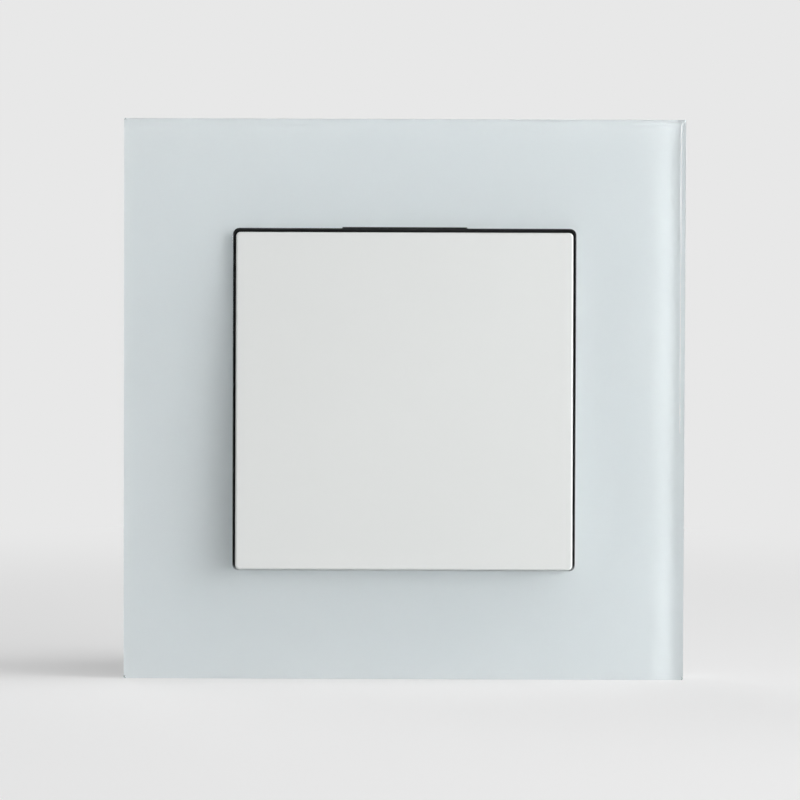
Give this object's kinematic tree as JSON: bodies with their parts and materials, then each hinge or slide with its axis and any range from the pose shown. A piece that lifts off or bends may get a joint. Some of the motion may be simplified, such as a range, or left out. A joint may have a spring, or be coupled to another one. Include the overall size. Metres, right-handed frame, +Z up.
{
  "type": "two-way light switch",
  "caption": "Flush wall light switch with a square glass frame and a wide rocker that throws a see-saw contact between the ways of a changeover circuit.",
  "frame": {"origin": "on the wall's surface, midway between the screws of the wall box", "axes": "+X to the right as seen from the room, +Y into the wall, +Z up"},
  "size_m": [0.09, 0.0336, 0.09],
  "materials": {
    "clear_glass": "clear toughened glass with ground, polished edges",
    "foam_tape": "white double-sided foam tape",
    "white_moulding": "fine-textured white moulding",
    "rocker_white": "satin white moulding",
    "black_moulding": "matt black moulding",
    "grey_moulding": "light grey insulating moulding",
    "galvanised_steel": "zinc-plated sheet steel",
    "rivet_steel": "nickel-plated steel",
    "spring_steel": "drawn spring steel wire",
    "contact_brass": "stamped brass",
    "silver": "silver alloy contact tips"
  },
  "bodies": {
    "insert_and_frame": {"glass_frame": "clear_glass", "bonding_pad": "foam_tape", "carrier_frame": "white_moulding", "retaining_frame": "black_moulding", "support_plate": "galvanised_steel", "mechanism_base": "grey_moulding", "mechanism_cover": "white_moulding", "housing_rivets": "rivet_steel", "common_strip": "contact_brass", "contact_strip_lower": "contact_brass", "contact_strip_upper": "contact_brass", "fixed_tips": "silver"},
    "rocker": {"rocker_plate": "rocker_white", "rocker_cradle": "white_moulding", "plunger_spring": "spring_steel"},
    "plunger": {"plunger": "black_moulding"},
    "contact_bar": {"contact_bar": "contact_brass", "moving_tips": "silver"},
    "clamp_common": {"clamp_cage_common": "contact_brass"},
    "screw_common": {"terminal_screw_common": "rivet_steel"},
    "clamp_lower": {"clamp_cage_lower": "contact_brass"},
    "screw_lower": {"terminal_screw_lower": "rivet_steel"},
    "clamp_upper": {"clamp_cage_upper": "contact_brass"},
    "screw_upper": {"terminal_screw_upper": "rivet_steel"}
  },
  "joints": [
    {"name": "rocker_tilt", "type": "hinge", "parent": "insert_and_frame", "child": "rocker", "pos_m": [0, -0.0085, 0], "axis": [1, 0, 0], "range_deg": [0, 6.6]},
    {"name": "bar_tilt", "type": "hinge", "parent": "insert_and_frame", "child": "contact_bar", "pos_m": [0, 0.0101, 0], "axis": [1, 0, 0], "range_deg": [-10, 0]},
    {"name": "plunger_slide", "type": "slide", "parent": "rocker", "child": "plunger", "axis": [0, -0.9983, 0.0576], "range_m": [0, 0.0008], "stiffness_N_per_m": 200, "springref_m": -0.001, "deforming": ["plunger_spring"]},
    {"name": "screw_turn_common", "type": "hinge", "parent": "insert_and_frame", "child": "screw_common", "pos_m": [0.013, 0.0185, 0], "axis": [0, -1, 0], "range_deg": [0, 1440]},
    {"name": "clamp_slide_common", "type": "slide", "parent": "insert_and_frame", "child": "clamp_common", "axis": [0, 1, 0], "range_m": [0, 0.0024]},
    {"name": "screw_turn_lower", "type": "hinge", "parent": "insert_and_frame", "child": "screw_lower", "pos_m": [-0.013, 0.0185, -0.009], "axis": [0, -1, 0], "range_deg": [0, 1440]},
    {"name": "clamp_slide_lower", "type": "slide", "parent": "insert_and_frame", "child": "clamp_lower", "axis": [0, 1, 0], "range_m": [0, 0.0024]},
    {"name": "screw_turn_upper", "type": "hinge", "parent": "insert_and_frame", "child": "screw_upper", "pos_m": [-0.013, 0.0185, 0.009], "axis": [0, -1, 0], "range_deg": [0, 1440]},
    {"name": "clamp_slide_upper", "type": "slide", "parent": "insert_and_frame", "child": "clamp_upper", "axis": [0, 1, 0], "range_m": [0, 0.0024]}
  ],
  "couplings": [
    {"joint": "bar_tilt", "follows": "rocker_tilt", "ratio": -1.515},
    {"joint": "screw_turn_common", "follows": "clamp_slide_common", "rad_per_m": 10472},
    {"joint": "screw_turn_lower", "follows": "clamp_slide_lower", "rad_per_m": 10472},
    {"joint": "screw_turn_upper", "follows": "clamp_slide_upper", "rad_per_m": 10472}
  ]
}
